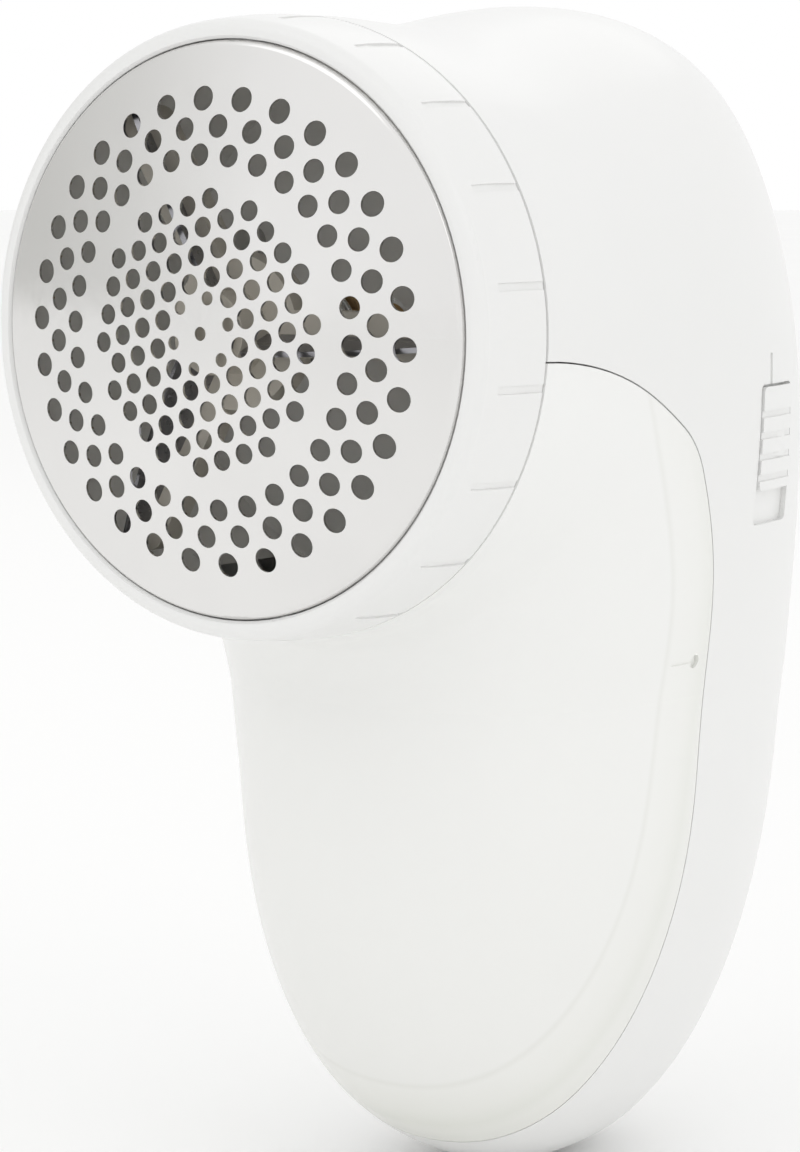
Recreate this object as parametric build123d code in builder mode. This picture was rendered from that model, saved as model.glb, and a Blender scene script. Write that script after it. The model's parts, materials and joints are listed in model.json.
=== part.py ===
from build123d import *
import math
import os

# Fabric shaver. Millimetres, +Z up, handle hanging down from the head.
# The origin is the middle of the small flat at the handle's tip. The cutting face looks along -Y,
# and the slide switch is on the +X side.

# ---- driving dimensions -------------------------------------------------------------------------
HEAD_Z = 104.0            # height of the cutter's axis, which runs along Y
FACE_Y = -60.0            # front of the domed guard, on the axis
RING_R = 34.25            # retaining ring at its rear edge, and the barrel behind it
SEAM_Y = -44.5            # plane where the body starts behind the ring
WALL = 2.0                # wall of the outer mouldings
SEAM_GAP = 0.09           # half of the gap between the lint container and the housing

NECK_R = 9.0              # inside bend between the barrel and the front of the handle
NECK_Y = SEAM_Y
NECK_Z = HEAD_Z - RING_R - NECK_R
# Sections that fan round the neck bend: angle from vertical, reach, half width, squareness.
BEND_SECTIONS = [
    (0, 77.5, RING_R, 2.0),
    (6, 77.9, 34.3, 2.0),
    (12, 78.9, 34.4, 2.0),
    (24, 87.0, 34.8, 2.1),
    (36, 97.2, 34.8, 2.2),
    (50, 94.9, 34.2, 2.3),
    (65, 87.4, 33.0, 2.4),
    (78, 82.3, 31.2, 2.5),
    (90, 80.3, 29.4, 2.6),
]
SPINE_R = NECK_R + RING_R   # the sections ride on an arc of this radius and then straight down
HANDLE_HALF_WIDTH = 28.7
HANDLE_HALF_DEPTH = 35.6
HANDLE_CENTRE_Y = 0.2
HANDLE_TAPER_HEIGHT = 68.0  # the taper to the tip starts here
TAPER_POWER_UP = 2.55
TAPER_POWER_OUT = 2.35
TIP_R = 4.5
# Heights of the handle's sections above its tip, and how far forward of their centre line each sits.
HANDLE_LEVELS = [(50, 0.1), (40, 0.5), (30, 0.9), (22, 1.1), (15, 1.1), (10, 0.9), (6, 0.5), (3, 0.2), (1.2, 0), (0, 0)]

# The lint container leaves along an arc, so its long seam is an arc about the same centre.
ARC_Y = -83.0
ARC_Z = 52.0
ARC_R = 80.0
SEAM_CORNER_Z = 88.0
UPPER_SEAM = [(SEAM_Y, 101.3), (-29.5, 99.0), (-16.0, 92.8), (-13.4, 90.6)]

DETENT_Y = -6.8           # dimples where the container's sides snap onto the frame
DETENT_Z = 65.0

DOME_R = 119.4            # sphere of the guard
GUARD_R = 31.2
GUARD_T = 0.35
RIM_BACK = 7.15           # depth of the guard's rear flange
FIELD_PITCH = 3.14
FIELD_R = 14.5
FIELD_TURN = 16.0
HOLE_RINGS = [(25.0, 2.65, 9.45), (22.0, 2.5, 3.43), (19.0, 2.4, 9.45)]  # radius, diameter, start angle
RING_HOLES = 30
FIELD_HOLE_D = 2.2
SMALL_HOLE_D = 1.5
SMALL_RING_R = 3.9

RING_BACK = 15.35         # depth of the ring's rear edge
RING_BORE_R = 32.4
COLLAR_R = 32.33          # running fit inside the ring
RING_LIP_R = 31.3         # running fit round the guard
TICKS = 20
TICK_WIDTH = 0.9
TICK_FRONT = 7.4
TICK_START = 45.0
PIN_DEPTH = 12.5
PIN_R = 1.2
PIN_REACH_R = 33.0
PIN_ANGLES = [90, 210, 330]
TWIST = 60.0              # turn that frees the ring
TWIST_LIFT = 6.0

BOWL_R = 31.6
BOWL_BORE_R = 30.1
FLOOR_FRONT = 34.0
FLOOR_BACK = 36.0
WINDOW_FRONT = 16.5
WINDOW_BACK = 33.0
WINDOW_WIDTH = 30.0

SHAFT_R = 1.0
RUNNING = 0.05            # radial running clearance on the shaft
HUB_R = 4.5
BLADE_TIP_R = 28.4
BLADE_ROOT_R = 4.5
BLADE_T = 0.6
BLADE_TILT = 20.0
BLADE_GAP = 0.4           # blade edge to guard
BLADE_BACK = 7.0
ARM_FRONT = 5.9
ARM_BACK = 9.0
ARM_WIDTH = 5.0
HUB_BACK = 15.0
SPRING_SEAT = 11.0
COLLAR_FRONT = 23.0

MOTOR_R = 12.0
CAN_T = 0.8
CAN_BACK = 66.0
CAP_BACK = 67.2
MOTOR_SCREW_X = 8.0
CHAMBER_SCREWS = [(-20, 9), (20, 9), (0, 24)]   # across and up from the axis
FLANGE_R = 31.5

DOOR_HALF_WIDTH = 17.6
DOOR_BOTTOM = 22.0
DOOR_TOP = 83.0
DOOR_CORNER = 5.0
DOOR_GAP = 0.3

CELL_R = 7.2
CELL_X = 7.6
CELL_Y = 17.5
CELL_BODY = 49.5
CELL_NUB = 1.0
CELL_NUB_R = 2.75
POCKET_R = 7.55
POCKET_BOTTOM = 24.4
POCKET_TOP = 79.9
CONTACT_T = 0.4
TRAY_HALF_WIDTH = 16.9
TRAY_FRONT = 8.6
TRAY_BACK = 18.0

SCREW_X = 20.6
SCREW_LEVELS = [40.0, 66.0]
BOSS_R = 2.5

SWITCH_Y = 6.8
RECESS_WIDTH = 10.4
RECESS_BOTTOM = 80.2
RECESS_TOP = 96.8
RECESS_DEPTH = 0.7
KNOB_BOTTOM = 84.3
KNOB_TOP = 96.5
KNOB_PROUD = 0.3
STEM_Z = (88.2, 92.6)
SWITCH_TRAVEL = 3.8
SWITCH_EARS = [78.2, 98.8]

WIRE_R = 0.65

PROFILE = Plane(origin=(0, FACE_Y, HEAD_Z), x_dir=(1, 0, 0), z_dir=(0, 0, 1))
FRONT = Plane(origin=(0, FACE_Y, HEAD_Z), x_dir=(1, 0, 0), z_dir=(0, -1, 0))
SIDE = Plane(origin=(0, 0, 0), x_dir=(0, 1, 0), z_dir=(1, 0, 0))
BACK = Plane(origin=(0, 0, 0), x_dir=(-1, 0, 0), z_dir=(0, 1, 0))
HEAD_AXIS = Axis((0, 0, HEAD_Z), (0, 1, 0))
SPAN = 90.0               # wider than the whole object

os.makedirs("parts", exist_ok=True)


def save(piece, name):
    piece.part.label = name
    export_step(piece.part, f"parts/{name}.step")


# ---- outer form ---------------------------------------------------------------------------------
def section(plane, half_width, half_depth, centre, power):
    """Oval in a plane: an ellipse at power 2 and squarer above it."""
    pull = (8 * 0.5 ** (1 / power) - 4) / 3
    low = centre - half_depth
    high = centre + half_depth
    with BuildSketch(plane, mode=Mode.PRIVATE) as face:
        with BuildLine():
            Bezier((0, low), (pull * half_width, low), (half_width, centre - pull * half_depth), (half_width, centre))
            Bezier((half_width, centre), (half_width, centre + pull * half_depth), (pull * half_width, high), (0, high))
            mirror(about=Plane.YZ)
        make_face()
    return face.sketch


def bend_plane(angle):
    """Plane through the neck bend's centre line, tilted back from vertical by angle."""
    turn = math.radians(angle)
    normal = (0, -math.cos(turn), math.sin(turn))
    return Plane(origin=(0, NECK_Y, NECK_Z), x_dir=(1, 0, 0), z_dir=normal)


def taper(height, full_height):
    """Share of the handle's full section left at a height above the tip."""
    return (1 - (1 - height / full_height) ** TAPER_POWER_UP) ** (1 / TAPER_POWER_OUT)


def form(inset):
    """The whole outer shape as one closed solid, moved inwards by inset."""
    sections = []
    for angle, reach, half_width, power in BEND_SECTIONS:
        near = NECK_R + inset
        far = reach - inset
        sections.append(section(bend_plane(angle), half_width - inset, (far - near) / 2, (far + near) / 2, power))
    for level, forward in HANDLE_LEVELS:
        share = taper(level * (1 - inset / NECK_Z), HANDLE_TAPER_HEIGHT - inset)
        half_width = max((HANDLE_HALF_WIDTH - inset) * share, TIP_R)
        half_depth = max((HANDLE_HALF_DEPTH - inset) * share, TIP_R)
        plane = Plane.XY.offset(inset + level * (1 - inset / NECK_Z))
        sections.append(section(plane, half_width, half_depth, HANDLE_CENTRE_Y - forward, 2.0 + 0.6 * share))
    half_turn = SPINE_R * math.sqrt(0.5)
    bend_end = (NECK_Y + SPINE_R, NECK_Z)
    with BuildPart(mode=Mode.PRIVATE) as solid:
        with BuildLine(SIDE) as spine:
            ThreePointArc((NECK_Y, NECK_Z + SPINE_R), (NECK_Y + half_turn, NECK_Z + half_turn), bend_end)
            Line(bend_end, (bend_end[0], inset))
        sweep(sections=sections, path=spine.wire(), multisection=True)
    return solid.part


def arc_y(height, radius):
    """Where an arc about the container's centre crosses a height."""
    return ARC_Y + math.sqrt(radius**2 - (height - ARC_Z) ** 2)


def container_zone(clearance):
    """Space of the lint container, drawn in the side view and run right across, less a clearance."""
    low = -6.0
    front = SEAM_Y - 15
    corner = (arc_y(SEAM_CORNER_Z, ARC_R), SEAM_CORNER_Z)
    with BuildPart(mode=Mode.PRIVATE) as zone:
        with BuildSketch(SIDE):
            with BuildLine():
                ThreePointArc(UPPER_SEAM[0], UPPER_SEAM[1], UPPER_SEAM[2])
                ThreePointArc(UPPER_SEAM[2], UPPER_SEAM[3], corner)
                ThreePointArc(corner, (ARC_Y + ARC_R, ARC_Z), (arc_y(low, ARC_R), low))
                Polyline((arc_y(low, ARC_R), low), (front, low), (front, UPPER_SEAM[0][1]), UPPER_SEAM[0])
            make_face()
            offset(amount=-clearance, kind=Kind.INTERSECTION)
        extrude(amount=SPAN / 2, both=True)
    return zone.part


def sag(radius):
    """Depth of the guard's dome at a radius."""
    return DOME_R - math.sqrt(DOME_R**2 - radius**2)


def turned(*outline):
    """Solid turned about the head's axis. Each outline point is a radius and a depth behind the face."""
    with BuildPart(mode=Mode.PRIVATE) as solid:
        with BuildSketch(PROFILE):
            with BuildLine():
                Polyline(*outline, close=True)
            make_face()
        revolve(axis=HEAD_AXIS)
    return solid.part


def block(x, y, z):
    """Box between the two limits given on each axis."""
    size = (x[1] - x[0], y[1] - y[0], z[1] - z[0])
    middle = ((x[0] + x[1]) / 2, (y[0] + y[1]) / 2, (z[0] + z[1]) / 2)
    with BuildPart(mode=Mode.PRIVATE) as solid:
        with Locations(middle):
            Box(*size)
    return solid.part


def rod(start, direction, radius, length):
    """Round bar from a start point along a direction."""
    with BuildPart(mode=Mode.PRIVATE) as solid:
        with BuildSketch(Plane(origin=start, z_dir=direction)):
            Circle(radius)
        extrude(amount=length)
    return solid.part


def door_prism(gap):
    """Straight cut of the battery door, seen from the back, less a gap all round."""
    with BuildPart(mode=Mode.PRIVATE) as prism:
        with BuildSketch(BACK.offset(TRAY_FRONT)):
            with Locations((0, (DOOR_BOTTOM + DOOR_TOP) / 2)):
                RectangleRounded(2 * DOOR_HALF_WIDTH - 2 * gap, DOOR_TOP - DOOR_BOTTOM - 2 * gap, DOOR_CORNER)
        extrude(amount=SPAN)
    return prism.part


outer_form = form(0)
inner_form = form(WALL)
fitted_form = form(WALL + 0.3)

# ---- guard and retaining ring -------------------------------------------------------------------
with BuildPart() as foil_guard:
    with BuildSketch(PROFILE):
        with BuildLine():
            ThreePointArc((0, 0), (15, sag(15)), (30.4, sag(30.4)))
            ThreePointArc((30.4, sag(30.4)), (30.97, 4.25), (GUARD_R, 4.8))
            Polyline((GUARD_R, 4.8), (GUARD_R, 6.8), (32.2, 6.8), (32.2, RIM_BACK), (30.85, RIM_BACK), (30.85, 4.95))
            ThreePointArc((30.85, 4.95), (30.68, 4.52), (30.3, sag(30.3) + GUARD_T))
            ThreePointArc((30.3, sag(30.3) + GUARD_T), (15, sag(15) + GUARD_T), (0, GUARD_T))
            Line((0, GUARD_T), (0, 0))
        make_face()
    revolve(axis=HEAD_AXIS)
    with BuildSketch(FRONT.offset(1)):
        for radius, diameter, start in HOLE_RINGS:
            with PolarLocations(radius, RING_HOLES, start_angle=start):
                Circle(diameter / 2)
        with PolarLocations(SMALL_RING_R, 6, start_angle=FIELD_TURN):
            Circle(SMALL_HOLE_D / 2)
        Circle(SMALL_HOLE_D / 2)
        for row in range(-6, 7):
            for column in range(-6, 7):
                point = Vector(column + row / 2, row * math.sqrt(3) / 2) * FIELD_PITCH
                if FIELD_PITCH * 1.1 < point.length < FIELD_R:
                    with Locations(point.rotate(Axis.Z, FIELD_TURN)):
                        Circle(FIELD_HOLE_D / 2)
    extrude(amount=-6, mode=Mode.SUBTRACT)
save(foil_guard, "foil_guard")

with BuildPart() as retaining_ring:
    with BuildSketch(PROFILE):
        with BuildLine():
            Polyline((RING_LIP_R, 6.55), (RING_LIP_R, 4.55), (31.6, 4.2))
            ThreePointArc((31.6, 4.2), (32.85, 4.45), (33.5, 5.5))
            ThreePointArc((33.5, 5.5), (34.02, 9.5), (RING_R, RING_BACK - 0.3))
            Polyline((RING_R, RING_BACK - 0.3), (RING_R - 0.3, RING_BACK), (RING_BORE_R, RING_BACK))
            Polyline((RING_BORE_R, RING_BACK), (RING_BORE_R, 6.55), (RING_LIP_R, 6.55))
        make_face()
    revolve(axis=HEAD_AXIS)
    with BuildPart(mode=Mode.PRIVATE) as ticks:
        with BuildSketch(FRONT.offset(-TICK_FRONT)):
            with PolarLocations(RING_R, TICKS, start_angle=TICK_START):
                Rectangle(3, TICK_WIDTH)
        extrude(amount=-SPAN)
        tick_floor = RING_R - 0.2
        add(turned((0, 5), (33.3, 5), (33.85, 9.5), (tick_floor, RING_BACK), (tick_floor, 99), (0, 99)),
            mode=Mode.SUBTRACT)
    add(ticks.part, mode=Mode.SUBTRACT)
    # Three ramps let the collar's pins out of the rear edge as the ring turns and lifts.
    for pin_angle in PIN_ANGLES:
        for step in range(29):
            turn = math.radians(pin_angle - 1.5 * step)
            depth = PIN_DEPTH + TWIST_LIFT * 1.5 * step / TWIST
            foot = (0, FACE_Y + depth, HEAD_Z)
            ramp_cut = rod(foot, (math.cos(turn), 0, math.sin(turn)), PIN_R + 0.15, PIN_REACH_R + 0.15)
            add(ramp_cut, mode=Mode.SUBTRACT)
save(retaining_ring, "retaining_ring")

# ---- cutter -------------------------------------------------------------------------------------
def blade(angle):
    """Thin steel blade on edge behind the guard, its front edge following the dome."""
    front = [(r, sag(r) + GUARD_T + BLADE_GAP) for r in (BLADE_ROOT_R, 16.5, BLADE_TIP_R)]
    with BuildPart(mode=Mode.PRIVATE) as solid:
        with BuildSketch(PROFILE):
            with BuildLine():
                ThreePointArc(*front)
                Polyline(front[2], (BLADE_TIP_R, BLADE_BACK), (BLADE_ROOT_R, BLADE_BACK), front[0])
            make_face()
        extrude(amount=BLADE_T / 2, both=True)
    hinge_line = Axis((0, FACE_Y + BLADE_BACK, HEAD_Z), (1, 0, 0))
    return solid.part.rotate(hinge_line, BLADE_TILT).rotate(HEAD_AXIS, angle)


blade_angles = [0, 120, 240]
for number, angle in enumerate(blade_angles, start=1):
    with BuildPart() as cutter_blade:
        add(blade(angle))
        add(turned((0, 0), (HUB_R, 0), (HUB_R, 12), (0, 12)), mode=Mode.SUBTRACT)
    save(cutter_blade, f"cutter_blade_{number}")

with BuildPart() as blade_carrier:
    add(turned((0, 1.6), (HUB_R, 1.6), (HUB_R, SPRING_SEAT), (3.0, SPRING_SEAT), (3.0, HUB_BACK), (0, HUB_BACK)))
    with BuildSketch(FRONT.offset(-ARM_FRONT)):
        with PolarLocations(15.5, 3, start_angle=0):
            SlotOverall(25, ARM_WIDTH)
        Circle(8.5)
    extrude(amount=-(ARM_BACK - ARM_FRONT))
    add(turned((0, 3.0), (SHAFT_R + RUNNING, 3.0), (SHAFT_R + RUNNING, 20), (0, 20)), mode=Mode.SUBTRACT)
    for angle in blade_angles:
        add(blade(angle), mode=Mode.SUBTRACT)
save(blade_carrier, "blade_carrier")

with BuildPart() as blade_spring:
    spring_plane = Plane(origin=(0, FACE_Y + SPRING_SEAT + 0.4, HEAD_Z), x_dir=(1, 0, 0), z_dir=(0, 1, 0))
    spring_path = Helix(pitch=2.2, height=11.2, radius=3.75)
    spring_path = spring_path.moved(spring_plane.location)
    with BuildSketch(Plane(origin=spring_path @ 0, z_dir=spring_path % 0)):
        Circle(0.35)
    sweep(path=spring_path, is_frenet=True)
save(blade_spring, "blade_spring")

with BuildPart() as shaft_collar:
    add(turned((SHAFT_R, COLLAR_FRONT), (4.5, COLLAR_FRONT), (4.5, COLLAR_FRONT + 1.6), (SHAFT_R, COLLAR_FRONT + 1.6)))
save(shaft_collar, "shaft_collar")

# ---- motor --------------------------------------------------------------------------------------
with BuildPart() as motor_shaft:
    add(turned((0, 4.6), (SHAFT_R, 4.6), (SHAFT_R, 69.5), (0, 69.5)))
    chamfer(motor_shaft.edges().group_by(Axis.Y)[0], 0.2)
save(motor_shaft, "motor_shaft")

bushing_r = 2.4
with BuildPart() as motor_can:
    add(turned((bushing_r, 34.6), (3.0, 34.6), (3.0, FLOOR_BACK), (MOTOR_R, FLOOR_BACK), (MOTOR_R, CAN_BACK),
               (MOTOR_R - CAN_T, CAN_BACK), (MOTOR_R - CAN_T, FLOOR_BACK + CAN_T), (bushing_r, FLOOR_BACK + CAN_T)))
    for side in (-1, 1):
        screw_start = (side * MOTOR_SCREW_X, FACE_Y + FLOOR_BACK - 1, HEAD_Z)
        add(rod(screw_start, (0, 1, 0), 1.05, 3), mode=Mode.SUBTRACT)
save(motor_can, "motor_can")

bore_r = SHAFT_R + RUNNING
with BuildPart() as front_bushing:
    add(turned((bore_r, 34.7), (bushing_r, 34.7), (bushing_r, 38.0), (bore_r, 38.0)))
save(front_bushing, "front_bushing")

with BuildPart() as rear_bushing:
    add(turned((bore_r, 65.2), (bushing_r, 65.2), (bushing_r, 68.8), (bore_r, 68.8)))
save(rear_bushing, "rear_bushing")

with BuildPart() as motor_magnets:
    magnet_outer = MOTOR_R - CAN_T - 0.05
    add(turned((9.0, 40), (magnet_outer, 40), (magnet_outer, 58), (9.0, 58)))
    add(block((-SPAN, SPAN), (FACE_Y + 39, FACE_Y + 59), (HEAD_Z - 3, HEAD_Z + 3)), mode=Mode.SUBTRACT)
save(motor_magnets, "motor_magnets")

with BuildPart() as motor_armature:
    add(turned((SHAFT_R, 39.5), (6.2, 39.5), (6.2, 42), (8.5, 42), (8.5, 56), (6.2, 56), (6.2, 58), (3.2, 58),
               (3.2, 62.6), (SHAFT_R, 62.6)))
    with BuildSketch(FRONT.offset(-42)):
        with PolarLocations(7.6, 3, start_angle=60):
            Rectangle(3.4, 1.8)
    extrude(amount=-14, mode=Mode.SUBTRACT)
save(motor_armature, "motor_armature")

with BuildPart() as motor_end_cap:
    can_bore = MOTOR_R - CAN_T
    add(turned((bushing_r, 63.8), (can_bore, 63.8), (can_bore, CAN_BACK), (MOTOR_R, CAN_BACK), (MOTOR_R, CAP_BACK),
               (3.6, CAP_BACK), (3.6, 68.8), (bushing_r, 68.8)))
save(motor_end_cap, "motor_end_cap")

with BuildPart() as motor_brushes:
    for side in (-1, 1):
        inner_x, outer_x = sorted((side * 3.25, side * 9.6))
        add(block((inner_x, outer_x), (FACE_Y + 60, FACE_Y + 62), (HEAD_Z - 0.6, HEAD_Z + 0.6)))
        stem_x = sorted((side * 8.2, side * 9.6))
        add(block(stem_x, (FACE_Y + 62, FACE_Y + 63.8), (HEAD_Z - 0.6, HEAD_Z + 0.6)))
save(motor_brushes, "motor_brushes")

TERMINAL_X = 7.0
with BuildPart() as motor_terminals:
    for side in (-1, 1):
        tab_x = (side * TERMINAL_X - 0.25, side * TERMINAL_X + 0.25)
        add(block(tab_x, (FACE_Y + CAP_BACK, FACE_Y + 71.5), (HEAD_Z - 1.25, HEAD_Z + 1.25)))
save(motor_terminals, "motor_terminals")

with BuildPart() as suppression_capacitor:
    lead = TERMINAL_X - 0.25
    add(block((-lead, lead), (FACE_Y + 69.5, FACE_Y + 70.1), (HEAD_Z - 0.3, HEAD_Z + 0.3)))
    add(rod((0, FACE_Y + 70.1, HEAD_Z), (0, 1, 0), 2.9, 1.8))
save(suppression_capacitor, "suppression_capacitor")

with BuildPart() as motor_screws:
    for side in (-1, 1):
        head_start = (side * MOTOR_SCREW_X, FACE_Y + FLOOR_FRONT - 1.2, HEAD_Z)
        add(rod(head_start, (0, 1, 0), 1.9, 1.2))
        add(rod(head_start, (0, 1, 0), 1.0, 5.0))
save(motor_screws, "motor_screws")

# ---- cutter chamber and inner frame -------------------------------------------------------------
with BuildPart() as cutter_chamber:
    add(turned((BOWL_BORE_R, 7.5), (COLLAR_R - 0.5, 7.5), (COLLAR_R, 8.0), (COLLAR_R, RING_BACK + 0.1), (BOWL_R, RING_BACK + 0.1),
               (BOWL_R, FLOOR_BACK), (0, FLOOR_BACK), (0, FLOOR_FRONT), (BOWL_BORE_R, FLOOR_FRONT)))
    for pin_angle in PIN_ANGLES:
        turn = math.radians(pin_angle)
        foot = (31.5 * math.cos(turn), FACE_Y + PIN_DEPTH, HEAD_Z + 31.5 * math.sin(turn))
        add(rod(foot, (math.cos(turn), 0, math.sin(turn)), PIN_R, PIN_REACH_R - 31.5))
    window_y = (FACE_Y + WINDOW_FRONT, FACE_Y + WINDOW_BACK)
    window_x = (-WINDOW_WIDTH / 2, WINDOW_WIDTH / 2)
    add(block(window_x, window_y, (HEAD_Z - 40, HEAD_Z - 20)), mode=Mode.SUBTRACT)
    floor_start = FACE_Y + FLOOR_FRONT - 1
    add(rod((0, floor_start, HEAD_Z), (0, 1, 0), 3.1, 5), mode=Mode.SUBTRACT)
    for side in (-1, 1):
        add(rod((side * MOTOR_SCREW_X, floor_start, HEAD_Z), (0, 1, 0), 1.05, 5), mode=Mode.SUBTRACT)
    for across, up in CHAMBER_SCREWS:
        add(rod((across, floor_start, HEAD_Z + up), (0, 1, 0), 1.25, 5), mode=Mode.SUBTRACT)
save(cutter_chamber, "cutter_chamber")

with BuildPart() as chamber_screws:
    for across, up in CHAMBER_SCREWS:
        head_start = (across, FACE_Y + FLOOR_FRONT - 1.5, HEAD_Z + up)
        add(rod(head_start, (0, 1, 0), 2.3, 1.5))
        add(rod(head_start, (0, 1, 0), 1.2, 7.0))
save(chamber_screws, "chamber_screws")

frame_y = FACE_Y + FLOOR_BACK
flange_back = frame_y + 2.0
plate_front_r = ARC_R + 0.6
plate_back_r = ARC_R + 2.6
rail_front_r = ARC_R - 9.0
rail_low = 14.0
rail_high = 84.0


def arc_band(inner_r, outer_r, low, high):
    """Band between two arcs about the container's centre, between two heights, run right across."""
    with BuildPart(mode=Mode.PRIVATE) as band:
        with BuildSketch(SIDE):
            with BuildLine():
                for radius in (inner_r, outer_r):
                    ThreePointArc((arc_y(low, radius), low), (ARC_Y + radius, ARC_Z), (arc_y(high, radius), high))
                Line((arc_y(low, inner_r), low), (arc_y(low, outer_r), low))
                Line((arc_y(high, inner_r), high), (arc_y(high, outer_r), high))
            make_face()
        extrude(amount=SPAN / 2, both=True)
    return band.part


with BuildPart() as inner_frame:
    # Divider behind the lint, its shelf under the motor, and the flange that carries the chamber.
    add(arc_band(plate_front_r, plate_back_r, 7.0, 88.0))
    with BuildSketch(SIDE):
        shelf_end_y = arc_y(88.0, plate_back_r)
        Polygon((frame_y, 97.0), (arc_y(88.0, plate_front_r), 88.0), (shelf_end_y, 88.0), (shelf_end_y, 90.5),
                (frame_y, 99.4), align=None)
    extrude(amount=SPAN / 2, both=True)
    add(fitted_form, mode=Mode.INTERSECT)
    with BuildSketch(FRONT.offset(-FLOOR_BACK)):
        Circle(FLANGE_R)
        with Locations((0, -FLANGE_R - 6)):
            Rectangle(2 * SPAN, 2 * FLANGE_R, mode=Mode.SUBTRACT)
    extrude(amount=-(flange_back - frame_y))
    motor_tube = rod((0, frame_y, HEAD_Z), (0, 1, 0), MOTOR_R + 2.0, 28)
    add(motor_tube)
    add(block((-SPAN, SPAN), (flange_back, frame_y + 30), (HEAD_Z, HEAD_Z + 30)), mode=Mode.SUBTRACT)
    add(rod((0, frame_y - 1, HEAD_Z), (0, 1, 0), MOTOR_R + 0.3, 40), mode=Mode.SUBTRACT)
    for across, up in CHAMBER_SCREWS:
        add(rod((across, frame_y - 1, HEAD_Z + up), (0, 1, 0), 1.25, 5), mode=Mode.SUBTRACT)
    for side in (-1, 1):
        for level in SCREW_LEVELS:
            add(rod((side * SCREW_X, -8, level), (0, 1, 0), 1.5, 12), mode=Mode.SUBTRACT)
    # Curved rails that guide the container's side walls.
    with BuildPart(mode=Mode.PRIVATE) as rails:
        add(fitted_form)
        add(form(WALL + 1.7), mode=Mode.SUBTRACT)
        add(arc_band(rail_front_r, plate_front_r + 0.5, rail_low, rail_high), mode=Mode.INTERSECT)
    add(rails.part)
save(inner_frame, "inner_frame")

# ---- outer mouldings ----------------------------------------------------------------------------
with BuildPart() as lint_container:
    add(outer_form)
    add(inner_form, mode=Mode.SUBTRACT)
    add(container_zone(SEAM_GAP), mode=Mode.INTERSECT)
    with BuildPart(mode=Mode.PRIVATE) as detents:
        add(block((-SPAN, SPAN), (DETENT_Y - 4.5, DETENT_Y), (DETENT_Z - 0.15, DETENT_Z + 0.15)))
        add(form(0.12), mode=Mode.SUBTRACT)
        add(rod((-SPAN / 2, DETENT_Y, DETENT_Z), (1, 0, 0), 0.8, SPAN))
        add(form(0.5), mode=Mode.SUBTRACT)
    add(detents.part, mode=Mode.SUBTRACT)
save(lint_container, "lint_container")

recess_y = (SWITCH_Y - RECESS_WIDTH / 2, SWITCH_Y + RECESS_WIDTH / 2)
slot_y = (SWITCH_Y - 1.9, SWITCH_Y + 1.9)
slot_z = (STEM_Z[0] - SWITCH_TRAVEL - 0.3, STEM_Z[1] + 0.3)
with BuildPart() as main_housing:
    add(outer_form)
    add(inner_form, mode=Mode.SUBTRACT)
    add(container_zone(-SEAM_GAP), mode=Mode.SUBTRACT)
    add(door_prism(0), mode=Mode.SUBTRACT)
    with BuildPart(mode=Mode.PRIVATE) as bosses:
        for side in (-1, 1):
            for level in SCREW_LEVELS:
                add(rod((side * SCREW_X, -0.6, level), (0, 1, 0), BOSS_R, 60))
        for level in SWITCH_EARS:
            add(rod((26.4, SWITCH_Y, level), (1, 0, 0), 1.9, 20))
        add(form(1.0), mode=Mode.INTERSECT)
        for side in (-1, 1):
            for level in SCREW_LEVELS:
                add(rod((side * SCREW_X, -2, level), (0, 1, 0), 1.25, 14), mode=Mode.SUBTRACT)
        for level in SWITCH_EARS:
            add(rod((25, SWITCH_Y, level), (1, 0, 0), 0.85, 5), mode=Mode.SUBTRACT)
    add(bosses.part)
    with BuildPart(mode=Mode.PRIVATE) as recess:
        add(block((20, 45), recess_y, (RECESS_BOTTOM, RECESS_TOP)))
        fillet(recess.edges().filter_by(Axis.X), 0.8)
        add(form(RECESS_DEPTH), mode=Mode.SUBTRACT)
    add(recess.part, mode=Mode.SUBTRACT)
    add(block((24, 45), slot_y, slot_z), mode=Mode.SUBTRACT)
    with BuildPart(mode=Mode.PRIVATE) as on_mark:
        add(block((20, 45), (SWITCH_Y - 2.6, SWITCH_Y - 1.9), (RECESS_TOP - 0.2, 100.4)))
        add(form(0.3), mode=Mode.SUBTRACT)
    add(on_mark.part, mode=Mode.SUBTRACT)
save(main_housing, "main_housing")

with BuildPart() as battery_door:
    add(outer_form)
    add(form(1.8), mode=Mode.SUBTRACT)
    add(door_prism(DOOR_GAP), mode=Mode.INTERSECT)
    # Thumb grip: five shallow grooves across the upper part.
    with BuildPart(mode=Mode.PRIVATE) as grooves:
        for row in range(5):
            level = 68.0 + 2.4 * row
            add(block((-8, 8), (TRAY_FRONT, SPAN), (level, level + 1.0)))
        add(form(0.5), mode=Mode.SUBTRACT)
    add(grooves.part, mode=Mode.SUBTRACT)
save(battery_door, "battery_door")

with BuildPart() as frame_screws:
    for side in (-1, 1):
        for level in SCREW_LEVELS:
            head_y = arc_y(level, plate_front_r) - 2.3
            add(rod((side * SCREW_X, head_y, level), (0, 1, 0), 2.2, 1.7))
            add(rod((side * SCREW_X, head_y, level), (0, 1, 0), 1.2, 13))
save(frame_screws, "frame_screws")

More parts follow.
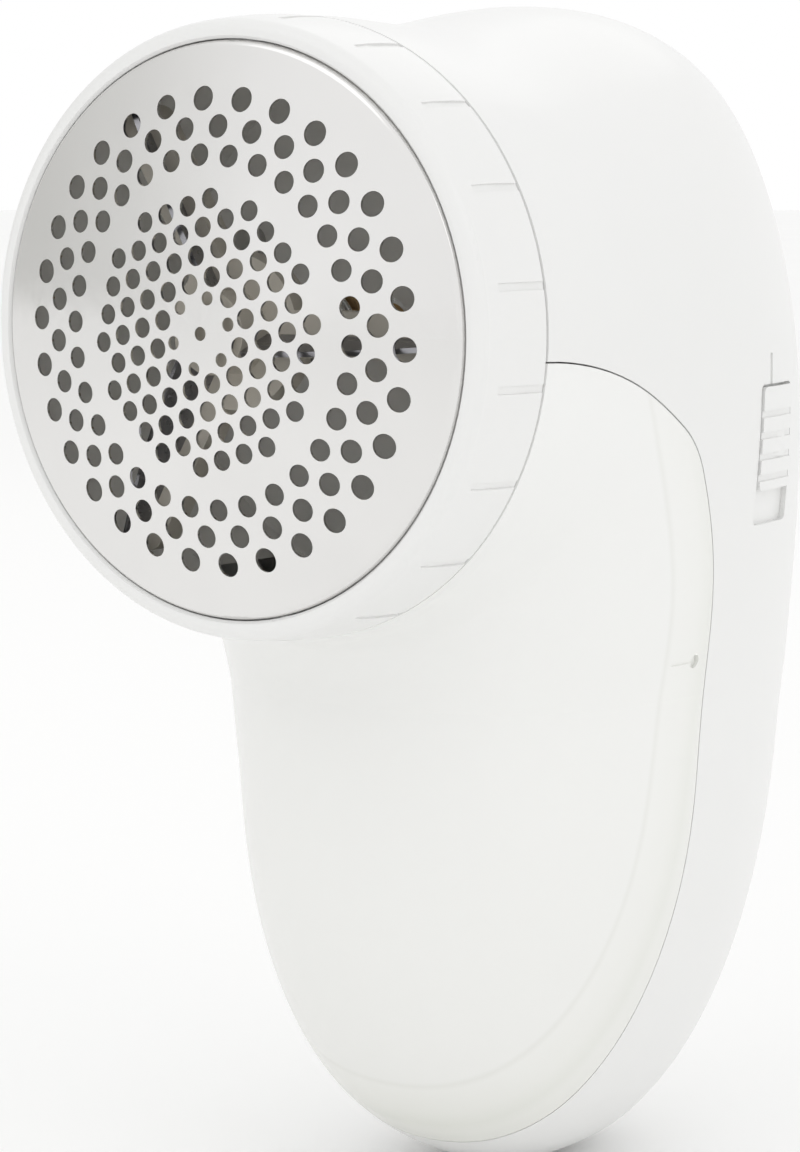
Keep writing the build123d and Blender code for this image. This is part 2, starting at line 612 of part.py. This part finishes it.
# ---- battery bay --------------------------------------------------------------------------------
plate_z = (POCKET_TOP - CONTACT_T, POCKET_TOP)
with BuildPart() as battery_tray:
    tray_z = (POCKET_BOTTOM - 1.6, POCKET_TOP + 1.6)
    add(block((-TRAY_HALF_WIDTH, TRAY_HALF_WIDTH), (TRAY_FRONT, TRAY_BACK), tray_z))
    for side in (-1, 1):
        pocket_height = POCKET_TOP - POCKET_BOTTOM
        add(rod((side * CELL_X, CELL_Y, POCKET_BOTTOM), (0, 0, 1), POCKET_R, pocket_height), mode=Mode.SUBTRACT)
        tab_x = (side * CELL_X - 1.7, side * CELL_X + 1.7)
        add(block(tab_x, (CELL_Y - 0.5, CELL_Y + 1), (POCKET_TOP - 1, POCKET_TOP + 5)), mode=Mode.SUBTRACT)
    add(block((-CELL_X, CELL_X), (CELL_Y - 4.2, CELL_Y + 0.6), (POCKET_BOTTOM, POCKET_BOTTOM + 0.6)), mode=Mode.SUBTRACT)
save(battery_tray, "battery_tray")


def cell(x, base, nub_up):
    """One AA cell standing at a height, with its nub at the top or at the bottom."""
    with BuildPart(mode=Mode.PRIVATE) as solid:
        body_z = base if nub_up else base + CELL_NUB
        add(rod((x, CELL_Y, body_z), (0, 0, 1), CELL_R, CELL_BODY))
        fillet(solid.edges().filter_by(GeomType.CIRCLE), 0.4)
        nub_z = base + CELL_BODY if nub_up else base
        add(rod((x, CELL_Y, nub_z), (0, 0, 1), CELL_NUB_R, CELL_NUB))
    return solid.part


upper_cell_base = plate_z[0] - CELL_BODY - CELL_NUB
lower_cell_base = POCKET_BOTTOM + CONTACT_T
with BuildPart() as battery_cell_1:
    add(cell(CELL_X, upper_cell_base, True))
save(battery_cell_1, "battery_cell_1")

with BuildPart() as battery_cell_2:
    add(cell(-CELL_X, lower_cell_base, False))
save(battery_cell_2, "battery_cell_2")

with BuildPart() as battery_contact_link:
    add(block((-CELL_X, CELL_X), (CELL_Y - 4, CELL_Y + 0.4), (POCKET_BOTTOM, POCKET_BOTTOM + CONTACT_T)))
    for side in (-1, 1):
        add(rod((side * CELL_X, CELL_Y, POCKET_BOTTOM), (0, 0, 1), 4.8, CONTACT_T))
save(battery_contact_link, "battery_contact_link")

for side, name in ((1, "battery_contact_positive"), (-1, "battery_contact_negative")):
    with BuildPart() as contact:
        add(rod((side * CELL_X, CELL_Y, plate_z[0]), (0, 0, 1), 4.8, CONTACT_T))
        tab_x = (side * CELL_X - 1.4, side * CELL_X + 1.4)
        add(block(tab_x, (CELL_Y - 0.2, CELL_Y + 0.2), (plate_z[0], 85.0)))
    save(contact, name)

spring_height = upper_cell_base - lower_cell_base
for name, x, base in (("battery_spring_1", CELL_X, lower_cell_base),
                      ("battery_spring_2", -CELL_X, lower_cell_base + CELL_BODY + CELL_NUB)):
    with BuildPart() as battery_spring:
        coil_path = Helix(pitch=1.15, height=spring_height - 0.8, radius=3.9, center=(x, CELL_Y, base + 0.4))
        with BuildSketch(Plane(origin=coil_path @ 0, z_dir=coil_path % 0)):
            Circle(0.35)
        sweep(path=coil_path, is_frenet=True)
    save(battery_spring, name)

# ---- slide switch -------------------------------------------------------------------------------
with BuildPart() as switch_knob:
    add(form(-KNOB_PROUD))
    add(form(RECESS_DEPTH - 0.1), mode=Mode.SUBTRACT)
    with BuildPart(mode=Mode.PRIVATE) as knob_outline:
        add(block((20, 45), (recess_y[0] + 0.3, recess_y[1] - 0.3), (KNOB_BOTTOM, KNOB_TOP)))
        fillet(knob_outline.edges().filter_by(Axis.X), 0.8)
    add(knob_outline.part, mode=Mode.INTERSECT)
    for row in range(4):
        level = 85.4 + 2.5 * row
        with BuildPart(mode=Mode.PRIVATE) as groove:
            add(block((20, 45), (recess_y[0] - 1, recess_y[1] + 1), (level, level + 0.8)))
            add(form(-0.02), mode=Mode.SUBTRACT)
        add(groove.part, mode=Mode.SUBTRACT)
    add(block((28.0, 33.0), (SWITCH_Y - 1.6, SWITCH_Y + 1.6), STEM_Z))
save(switch_knob, "switch_knob")

with BuildPart() as switch_retainer:
    add(block((28.6, 29.6), (SWITCH_Y - 3.4, SWITCH_Y + 3.4), (STEM_Z[0] - 2.2, STEM_Z[1] + 2.2)))
    add(block((27, 33), (SWITCH_Y - 1.6, SWITCH_Y + 1.6), STEM_Z), mode=Mode.SUBTRACT)
save(switch_retainer, "switch_retainer")

lever_z = (STEM_Z[0] + 0.6, STEM_Z[1] - 0.6)
with BuildPart() as slide_switch_lever:
    add(block((24.8, 28.0), (SWITCH_Y - 1.2, SWITCH_Y + 1.2), lever_z))
save(slide_switch_lever, "slide_switch_lever")

switch_z = (80.6, 96.4)
with BuildPart() as slide_switch_body:
    add(block((19.0, 26.4), (SWITCH_Y - 3.6, SWITCH_Y + 3.6), switch_z))
    add(block((25.6, 26.4), (SWITCH_Y - 2.4, SWITCH_Y + 2.4), (SWITCH_EARS[0] - 1.9, SWITCH_EARS[1] + 1.9)))
    lever_slot_z = (lever_z[0] - SWITCH_TRAVEL - 0.3, lever_z[1] + 0.3)
    add(block((24.4, 30), (SWITCH_Y - 1.5, SWITCH_Y + 1.5), lever_slot_z), mode=Mode.SUBTRACT)
    for level in SWITCH_EARS:
        add(rod((24, SWITCH_Y, level), (1, 0, 0), 0.85, 5), mode=Mode.SUBTRACT)
save(slide_switch_body, "slide_switch_body")

with BuildPart() as slide_switch_terminals:
    for level in (84.0, 88.5, 93.0):
        add(block((16.5, 19.0), (SWITCH_Y - 0.25, SWITCH_Y + 0.25), (level - 0.8, level + 0.8)))
save(slide_switch_terminals, "slide_switch_terminals")

with BuildPart() as switch_screws:
    for level in SWITCH_EARS:
        add(rod((24.4, SWITCH_Y, level), (1, 0, 0), 1.5, 1.2))
        add(rod((24.4, SWITCH_Y, level), (1, 0, 0), 0.8, 4.8))
save(switch_screws, "switch_screws")

# ---- wires --------------------------------------------------------------------------------------
tab_top = 85.0
terminal_y = FACE_Y + 71.5
wire_routes = {
    "wire_battery_to_switch": [(CELL_X, CELL_Y, tab_top), (CELL_X, CELL_Y, 90), (12, SWITCH_Y, 93), (16.5, SWITCH_Y, 93)],
    "wire_switch_to_motor": [(16.5, SWITCH_Y, 84), (12.5, SWITCH_Y, 84), (12.5, 15, 88), (TERMINAL_X, 19.5, 97),
                             (TERMINAL_X, 19.5, 104), (TERMINAL_X, terminal_y, 104)],
    "wire_battery_to_motor": [(-CELL_X, CELL_Y, tab_top), (-CELL_X, CELL_Y, 92), (-TERMINAL_X, 19.5, 104),
                              (-TERMINAL_X, terminal_y, 104)],
}
for name, route in wire_routes.items():
    with BuildPart() as wire:
        with BuildLine() as wire_path:
            FilletPolyline(*route, radius=1.8)
        with BuildSketch(Plane(origin=wire_path.line @ 0, z_dir=wire_path.line % 0)):
            Circle(WIRE_R)
        sweep(path=wire_path.line)
    save(wire, name)
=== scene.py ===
import json
import math

import bmesh
import bpy
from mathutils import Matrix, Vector


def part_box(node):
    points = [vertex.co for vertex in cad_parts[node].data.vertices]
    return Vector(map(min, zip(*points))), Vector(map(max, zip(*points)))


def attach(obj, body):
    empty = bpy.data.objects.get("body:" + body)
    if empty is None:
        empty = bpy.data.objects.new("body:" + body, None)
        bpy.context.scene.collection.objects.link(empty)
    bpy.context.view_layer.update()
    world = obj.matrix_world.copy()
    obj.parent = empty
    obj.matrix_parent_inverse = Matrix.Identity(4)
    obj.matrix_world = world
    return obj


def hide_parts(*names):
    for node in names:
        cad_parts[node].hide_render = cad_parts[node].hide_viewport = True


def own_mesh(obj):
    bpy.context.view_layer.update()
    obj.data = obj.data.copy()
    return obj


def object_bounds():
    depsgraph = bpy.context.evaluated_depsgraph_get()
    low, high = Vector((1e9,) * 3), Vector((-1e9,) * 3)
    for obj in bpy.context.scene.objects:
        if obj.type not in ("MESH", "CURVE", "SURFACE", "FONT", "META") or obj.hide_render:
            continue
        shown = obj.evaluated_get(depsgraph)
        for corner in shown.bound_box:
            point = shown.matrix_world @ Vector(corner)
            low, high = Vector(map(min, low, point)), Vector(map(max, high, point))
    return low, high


# Looks of the fabric shaver. Metres, in the CAD's frame: +Z up the handle, the guard looks along -Y.
MM = 0.001

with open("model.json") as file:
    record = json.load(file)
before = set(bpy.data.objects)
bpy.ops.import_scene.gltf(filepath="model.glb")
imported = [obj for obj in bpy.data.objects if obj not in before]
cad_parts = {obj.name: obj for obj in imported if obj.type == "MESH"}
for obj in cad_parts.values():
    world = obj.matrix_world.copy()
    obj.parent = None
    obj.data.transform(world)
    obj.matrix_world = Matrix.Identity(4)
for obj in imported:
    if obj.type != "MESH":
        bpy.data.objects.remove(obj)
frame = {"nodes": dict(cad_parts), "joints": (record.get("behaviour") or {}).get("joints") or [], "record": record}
cad_low, cad_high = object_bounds()
nodes = frame["nodes"]


def joint_named(name):
    return next(joint for joint in frame["joints"] if joint["name"] == name)


# ---- camera -------------------------------------------------------------------------------------
VIEW_AZIMUTH = math.radians(35.785)
VIEW_ELEVATION = math.radians(6.776)
VIEW_DISTANCE = 0.390
VIEW_LENS = 99.5
SENSOR_WIDTH = 36.0
VIEW_SHIFT = Vector((-10.3, 2.7, 1.75)) * MM   # from the object's middle to what the camera looks at
object_middle = (Vector(cad_low) + Vector(cad_high)) / 2
view_target = object_middle + VIEW_SHIFT


def aim(thing, place, target):
    """Puts a camera or a light at a place, looking at a target."""
    thing.location = place
    thing.rotation_mode = "QUATERNION"
    thing.rotation_quaternion = (Vector(target) - Vector(place)).to_track_quat("-Z", "Y")


def make_camera():
    data = bpy.data.cameras.new("camera")
    data.lens = VIEW_LENS
    data.sensor_width = SENSOR_WIDTH
    data.clip_start = 0.01
    data.clip_end = 50.0
    camera = bpy.data.objects.new("camera", data)
    bpy.context.scene.collection.objects.link(camera)
    back = Vector((
        math.sin(VIEW_AZIMUTH) * math.cos(VIEW_ELEVATION),
        -math.cos(VIEW_AZIMUTH) * math.cos(VIEW_ELEVATION),
        math.sin(VIEW_ELEVATION),
    ))
    aim(camera, view_target + back * VIEW_DISTANCE, view_target)
    bpy.context.scene.camera = camera


make_camera()


# ---- materials ----------------------------------------------------------------------------------
# Noise scales, in cells per metre.
CLOUDS = 45.0
PEEL = 420.0
GRAIN = 2600.0
METAL_PATCHES = 70.0
METAL_LINES = 900.0
WINDING_TURNS = 900.0


def new_material(name):
    material = bpy.data.materials.new(name)
    material.use_nodes = True
    tree = material.node_tree
    shader = tree.nodes["Principled BSDF"]
    return material, tree, shader


def add_node(tree, kind, **values):
    node = tree.nodes.new(kind)
    for key, value in values.items():
        setattr(node, key, value)
    return node


def object_coordinates(tree, scale=(1, 1, 1)):
    """Position on the piece, in metres times a scale along each axis."""
    place = add_node(tree, "ShaderNodeTexCoord")
    stretch = add_node(tree, "ShaderNodeMapping")
    stretch.inputs["Scale"].default_value = scale
    tree.links.new(place.outputs["Object"], stretch.inputs["Vector"])
    return stretch.outputs["Vector"]


def noise(tree, vector, scale, detail=3.0, roughness=0.5):
    texture = add_node(tree, "ShaderNodeTexNoise")
    texture.inputs["Scale"].default_value = scale
    texture.inputs["Detail"].default_value = detail
    texture.inputs["Roughness"].default_value = roughness
    tree.links.new(vector, texture.inputs["Vector"])
    return texture.outputs["Fac"]


def ramp(tree, factor, stops):
    """Colour ramp: stops are (position, colour)."""
    node = add_node(tree, "ShaderNodeValToRGB")
    while len(node.color_ramp.elements) < len(stops):
        node.color_ramp.elements.new(0.5)
    for element, (position, colour) in zip(node.color_ramp.elements, stops):
        element.position = position
        element.color = tuple(colour) + (1.0,)
    tree.links.new(factor, node.inputs["Fac"])
    return node.outputs["Color"]


def spread(tree, factor, low, high):
    """Turns a 0 to 1 factor into a value between low and high."""
    node = add_node(tree, "ShaderNodeMapRange")
    node.inputs["To Min"].default_value = low
    node.inputs["To Max"].default_value = high
    tree.links.new(factor, node.inputs["Value"])
    return node.outputs["Result"]


def bump(tree, shader, heights, distance, strength=1.0):
    """Bumps from one or more height outputs, in metres of depth."""
    normal = None
    for height, share in heights:
        node = add_node(tree, "ShaderNodeBump")
        node.inputs["Strength"].default_value = strength
        node.inputs["Distance"].default_value = distance * share
        tree.links.new(height, node.inputs["Height"])
        if normal is not None:
            tree.links.new(normal, node.inputs["Normal"])
        normal = node.outputs["Normal"]
    tree.links.new(normal, shader.inputs["Normal"])


def shade(base, change):
    return tuple(max(0.0, min(1.0, c * (1 + change))) for c in base)


def moulded(name, base, roughness, cloud=0.012, grain=0.00002, gloss=0.5, coat=0.0):
    """Injection-moulded plastic: faint cloudiness, orange peel, fine grain, and uneven gloss."""
    material, tree, shader = new_material(name)
    place = object_coordinates(tree)
    clouds = noise(tree, place, CLOUDS, 4.0, 0.55)
    fine = noise(tree, place, GRAIN, 2.0, 0.5)
    peel = noise(tree, place, PEEL, 2.0, 0.4)
    colour = ramp(tree, clouds, [(0.25, shade(base, -cloud)), (0.75, shade(base, cloud * 0.4))])
    tree.links.new(colour, shader.inputs["Base Color"])
    tree.links.new(spread(tree, clouds, roughness * 0.85, roughness * 1.2), shader.inputs["Roughness"])
    bump(tree, shader, [(peel, 1.0), (fine, 0.25)], grain, 0.35)
    shader.inputs["Specular IOR Level"].default_value = gloss
    shader.inputs["Coat Weight"].default_value = coat
    shader.inputs["Coat Roughness"].default_value = 0.12
    return material


def multiply(tree, first, second):
    """Product of two colours."""
    node = add_node(tree, "ShaderNodeMix", data_type="RGBA", blend_type="MULTIPLY")
    node.inputs["Factor"].default_value = 1.0
    tree.links.new(first, node.inputs["A"])
    tree.links.new(second, node.inputs["B"])
    return node.outputs["Result"]


def radius_from(tree, centre):
    """Distance from a line along X through a point, in metres."""
    place = add_node(tree, "ShaderNodeTexCoord")
    shift = add_node(tree, "ShaderNodeVectorMath", operation="SUBTRACT")
    shift.inputs[1].default_value = centre
    flat = add_node(tree, "ShaderNodeVectorMath", operation="MULTIPLY")
    flat.inputs[1].default_value = (0, 1, 1)
    length = add_node(tree, "ShaderNodeVectorMath", operation="LENGTH")
    tree.links.new(place.outputs["Object"], shift.inputs[0])
    tree.links.new(shift.outputs["Vector"], flat.inputs[0])
    tree.links.new(flat.outputs["Vector"], length.inputs[0])
    return length.outputs["Value"]


def between(tree, value, low, high):
    """Turns a value between low and high into a 0 to 1 factor."""
    node = add_node(tree, "ShaderNodeMapRange")
    node.inputs["From Min"].default_value = low
    node.inputs["From Max"].default_value = high
    tree.links.new(value, node.inputs["Value"])
    return node.outputs["Result"]


RAIL_BAND = 12 * MM


def frosted(name, base, arc_centre, arc_radius, low, high):
    """Translucent moulding. The rail behind it shows through as soft lines of painted shade along the seam, inside
    an arc.
    It greys a little towards the bottom, partly lint and partly painted shade from the parts behind it."""
    material = moulded(name, base, 0.24, cloud=0.008, grain=0.00002)
    tree = material.node_tree
    shader = tree.nodes["Principled BSDF"]
    plain = shader.inputs["Base Color"].links[0].from_socket
    reach = between(tree, radius_from(tree, arc_centre), arc_radius - RAIL_BAND, arc_radius)
    # painted shade: soft darker lines inside the arc stand in for the rail behind the frosted wall
    rail = ramp(tree, reach, [
        (0.00, (1.0, 1.0, 1.0)),
        (0.16, (1.0, 1.0, 1.0)),
        (0.21, (0.955, 0.955, 0.945)),
        (0.27, (1.0, 1.0, 0.995)),
        (0.60, (0.985, 0.985, 0.975)),
        (0.82, (0.945, 0.95, 0.93)),
        (0.95, (0.975, 0.975, 0.965)),
    ])
    split = add_node(tree, "ShaderNodeSeparateXYZ")
    tree.links.new(object_coordinates(tree), split.inputs["Vector"])
    # painted shade: the lower part is made greyer, partly for lint and partly for the shade of the parts behind it
    height = ramp(tree, between(tree, split.outputs["Z"], low, high), [
        (0.0, (0.94, 0.945, 0.92)),
        (0.12, (0.975, 0.975, 0.965)),
        (0.6, (0.995, 0.995, 0.99)),
        (1.0, (1.0, 1.0, 1.0)),
    ])
    tree.links.new(multiply(tree, multiply(tree, plain, rail), height), shader.inputs["Base Color"])
    shader.inputs["Transmission Weight"].default_value = 0.10
    shader.inputs["IOR"].default_value = 1.4
    return material


def metal(name, base, roughness, grain_scale, grain=0.000004, cloud=0.05, anisotropic=0.0):
    """Bare metal with a grain stretched along one axis, and patches that are a little duller."""
    material, tree, shader = new_material(name)
    place = object_coordinates(tree, grain_scale)
    lines = noise(tree, place, METAL_LINES, 3.0, 0.6)
    patches = noise(tree, object_coordinates(tree), METAL_PATCHES, 3.0, 0.5)
    colour = ramp(tree, patches, [(0.3, shade(base, -cloud)), (0.7, shade(base, cloud * 0.5))])
    tree.links.new(colour, shader.inputs["Base Color"])
    tree.links.new(spread(tree, lines, roughness * 0.7, roughness * 1.35), shader.inputs["Roughness"])
    bump(tree, shader, [(lines, 1.0)], grain, 0.5)
    shader.inputs["Metallic"].default_value = 1.0
    shader.inputs["Anisotropic"].default_value = anisotropic
    return material


def banded(name, axis, stops, roughness):
    """Colour that changes along one axis of the piece, with a fine grain."""
    material, tree, shader = new_material(name)
    place = object_coordinates(tree)
    split = add_node(tree, "ShaderNodeSeparateXYZ")
    tree.links.new(place, split.inputs["Vector"])
    low, high = stops[0][0], stops[-1][0]
    along = between(tree, split.outputs[axis], low, high)
    spots = [((place_m - low) / (high - low), colour) for place_m, colour in stops]
    colours = ramp(tree, along, spots)
    tree.links.new(colours, shader.inputs["Base Color"])
    fine = noise(tree, place, METAL_LINES, 2.0, 0.5)
    tree.links.new(spread(tree, fine, roughness * 0.8, roughness * 1.25), shader.inputs["Roughness"])
    bump(tree, shader, [(fine, 1.0)], 0.000006, 0.4)
    return material


def wound(name, base):
    """Enamelled wire laid side by side round the armature's poles, with painted shade in the grooves between
    turns.
    """
    material, tree, shader = new_material(name)
    place = object_coordinates(tree)
    turns = add_node(tree, "ShaderNodeTexWave", wave_type="BANDS", bands_direction="X")
    turns.inputs["Scale"].default_value = WINDING_TURNS
    turns.inputs["Distortion"].default_value = 1.2
    tree.links.new(place, turns.inputs["Vector"])
    # painted shade: the stripes darken into the grooves between the wire turns
    colour = ramp(tree, turns.outputs["Fac"], [(0.0, shade(base, -0.45)), (0.6, base)])
    tree.links.new(colour, shader.inputs["Base Color"])
    bump(tree, shader, [(turns.outputs["Fac"], 1.0)], 0.0001, 0.8)
    shader.inputs["Metallic"].default_value = 0.6
    shader.inputs["Roughness"].default_value = 0.3
    return material


WHITE = (0.835, 0.835, 0.825)
looks = {
    "guard_steel": metal("guard_steel", (0.80, 0.793, 0.782), 0.15, (1, 1, 1), grain=0.000001, cloud=0.02),
    "white_abs": moulded("white_abs", WHITE, 0.30, coat=0.15),
    "inner_abs": moulded("inner_abs", (0.93, 0.92, 0.89), 0.5),
    "carrier_plastic": moulded("carrier_plastic", (0.70, 0.66, 0.58), 0.5, cloud=0.05),
    "blade_steel": metal("blade_steel", (0.34, 0.34, 0.36), 0.28, (0.05, 1, 1), cloud=0.12),
    "plated_steel": metal("plated_steel", (0.62, 0.62, 0.61), 0.28, (1, 1, 0.2), cloud=0.08),
    "sintered_bronze": metal(
        "sintered_bronze", (0.55, 0.38, 0.20), 0.5, (1, 1, 1), grain=0.00002, cloud=0.2),
    "ferrite": moulded("ferrite", (0.055, 0.055, 0.06), 0.6, cloud=0.3, grain=0.00005),
    "copper_winding": wound("copper_winding", (0.62, 0.26, 0.10)),
    "black_plastic": moulded("black_plastic", (0.03, 0.03, 0.032), 0.45, cloud=0.2),
    "capacitor_ceramic": moulded("capacitor_ceramic", (0.55, 0.24, 0.05), 0.35, cloud=0.15),
    "wire_red": moulded("wire_red", (0.45, 0.02, 0.02), 0.35, cloud=0.1),
    "wire_black": moulded("wire_black", (0.015, 0.015, 0.015), 0.4, cloud=0.2),
}

swing = joint_named("container_swing")
RAIL_RISE = 5 * MM    # the rail's arc is centred this far above the container's own centre
RAIL_ARC_R = 80.5 * MM
rail_centre = (swing["pos_m"][0], swing["pos_m"][1], swing["pos_m"][2] + RAIL_RISE)
bin_low, bin_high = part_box("lint_container")
looks["frosted_container"] = frosted(
    "frosted_container", (0.965, 0.966, 0.952), rail_centre, RAIL_ARC_R, bin_low[2], bin_high[2])

cell_low, cell_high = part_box("battery_cell_1")
STEEL_END = (0.55, 0.55, 0.54)
JACKET = (0.05, 0.16, 0.10)
JACKET_BAND = (0.62, 0.45, 0.16)
looks["cell_jacket"] = banded("cell_jacket", "Z", [
    (cell_low[2], STEEL_END),
    (cell_low[2] + 0.6 * MM, JACKET),
    (cell_low[2] + 36 * MM, JACKET),
    (cell_low[2] + 36.5 * MM, JACKET_BAND),
    (cell_high[2] - 1.9 * MM, JACKET_BAND),
    (cell_high[2] - 1.6 * MM, STEEL_END),
    (cell_high[2], STEEL_END),
], 0.3)


def dress_nodes():
    """Gives every CAD node its material, by the slot the record names."""
    for part in frame["record"]["subparts"]:
        piece = nodes.get(part["node"])
        if piece is None:
            continue
        look = looks[part["material_slot"]]
        for index in range(len(piece.material_slots)):
            piece.material_slots[index].link = "OBJECT"
            piece.material_slots[index].material = look


dress_nodes()


# ---- blade spring -------------------------------------------------------------------------------
def tube(name, centres, radials, radius, sides):
    """Round wire along a line of centres. Each ring of points lies in the plane of its radial and Y."""
    mesh = bpy.data.meshes.new(name)
    wire = bmesh.new()
    rings = []
    for centre, radial in zip(centres, radials):
        ring = []
        for side in range(sides):
            turn = 2 * math.pi * side / sides
            offset = radial * math.cos(turn) + Vector((0, 1, 0)) * math.sin(turn)
            ring.append(wire.verts.new(centre + offset * radius))
        rings.append(ring)
    for first, second in zip(rings, rings[1:]):
        for side in range(sides):
            after = (side + 1) % sides
            face = wire.faces.new((first[side], first[after], second[after], second[side]))
            face.smooth = True
    wire.faces.new(rings[0][::-1])
    wire.faces.new(rings[-1])
    bmesh.ops.recalc_face_normals(wire, faces=wire.faces)
    wire.to_mesh(mesh)
    wire.free()
    return mesh


SPRING_WIRE_R = 0.35 * MM
SPRING_TURNS = 6.5
SPRING_STEPS = 40     # points along one turn
SPRING_SIDES = 10     # points round the wire


def make_blade_spring():
    """Wound coil with one closed turn at each end."""
    low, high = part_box("blade_spring")
    coil_r = (high[0] - low[0]) / 2 - SPRING_WIRE_R
    closed_rise = 2.1 * SPRING_WIRE_R
    length = high[1] - low[1] - 2 * SPRING_WIRE_R
    open_rise = (length - 2 * closed_rise) / (SPRING_TURNS - 2)
    centres = []
    radials = []
    for step in range(int(SPRING_TURNS * SPRING_STEPS) + 1):
        turn = step / SPRING_STEPS
        rise = closed_rise * min(turn, 1.0)
        rise += open_rise * max(0.0, min(turn - 1.0, SPRING_TURNS - 2.0))
        rise += closed_rise * max(0.0, turn - SPRING_TURNS + 1.0)
        radial = Vector((math.cos(2 * math.pi * turn), 0, math.sin(2 * math.pi * turn)))
        depth = low[1] + SPRING_WIRE_R + rise
        middle = Vector(((low[0] + high[0]) / 2, depth, (low[2] + high[2]) / 2))
        centres.append(middle + radial * coil_r)
        radials.append(radial)
    mesh = tube("wound_blade_spring", centres, radials, SPRING_WIRE_R, SPRING_SIDES)
    mesh.materials.append(looks["plated_steel"])
    spring = bpy.data.objects.new("wound_blade_spring", mesh)
    bpy.context.scene.collection.objects.link(spring)
    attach(spring, "cutter")
    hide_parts("blade_spring")
    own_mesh(spring)


make_blade_spring()


# ---- floor and light ----------------------------------------------------------------------------
FLOOR_RADIUS = 30.0
FLOOR_DROP = 0.2 * MM


def make_floor():
    material, tree, shader = new_material("floor")
    place = object_coordinates(tree)
    clouds = noise(tree, place, 1.5, 3.0, 0.5)
    colour = ramp(tree, clouds, [(0.3, (0.955, 0.955, 0.95)), (0.7, (0.97, 0.97, 0.965))])
    tree.links.new(colour, shader.inputs["Base Color"])
    shader.inputs["Roughness"].default_value = 0.8
    mesh = bpy.data.meshes.new("floor")
    grid = bmesh.new()
    bmesh.ops.create_circle(grid, cap_ends=True, segments=96, radius=FLOOR_RADIUS)
    bmesh.ops.translate(grid, verts=grid.verts, vec=(0, 0, cad_low[2] - FLOOR_DROP))
    grid.to_mesh(mesh)
    grid.free()
    floor = bpy.data.objects.new("floor", mesh)
    floor.data.materials.append(material)
    bpy.context.scene.collection.objects.link(floor)


DARK_SIDE = (-0.985, -0.12, 0.03)   # the studio is greyer this way
STUDIO_TINTS = [(0.62, (1.0, 1.0, 1.0)), (0.97, (0.66, 0.66, 0.645))]


def make_world():
    world = bpy.data.worlds.new("studio")
    world.use_nodes = True
    tree = world.node_tree
    background = tree.nodes["Background"]
    background.inputs["Strength"].default_value = 1.0
    place = add_node(tree, "ShaderNodeTexCoord")
    facing = add_node(tree, "ShaderNodeVectorMath", operation="DOT_PRODUCT")
    facing.inputs[1].default_value = DARK_SIDE
    tree.links.new(place.outputs["Generated"], facing.inputs[0])
    tint = ramp(tree, facing.outputs["Value"], STUDIO_TINTS)
    tree.links.new(tint, background.inputs["Color"])
    bpy.context.scene.world = world


def make_light(name, azimuth, elevation, distance, size, power):
    """Round lamp aimed at the object's middle. Angles in degrees, azimuth turned from -Y towards +X."""
    data = bpy.data.lights.new(name, "AREA")
    data.shape = "DISK"
    data.size = size
    data.energy = power
    light = bpy.data.objects.new(name, data)
    bpy.context.scene.collection.objects.link(light)
    turn = math.radians(azimuth)
    rise = math.radians(elevation)
    towards = Vector((math.sin(turn) * math.cos(rise), -math.cos(turn) * math.cos(rise), math.sin(rise)))
    aim(light, object_middle + towards * distance, object_middle)


make_floor()
make_world()
make_light("key", -20, 50, 0.9, 0.6, 0.28)
make_light("side", 80, 35, 1.0, 0.5, 0.3)
make_light("back", 200, 45, 1.0, 0.6, 0.25)
bpy.context.scene.view_settings.view_transform = "Standard"
bpy.context.scene.view_settings.look = "None"
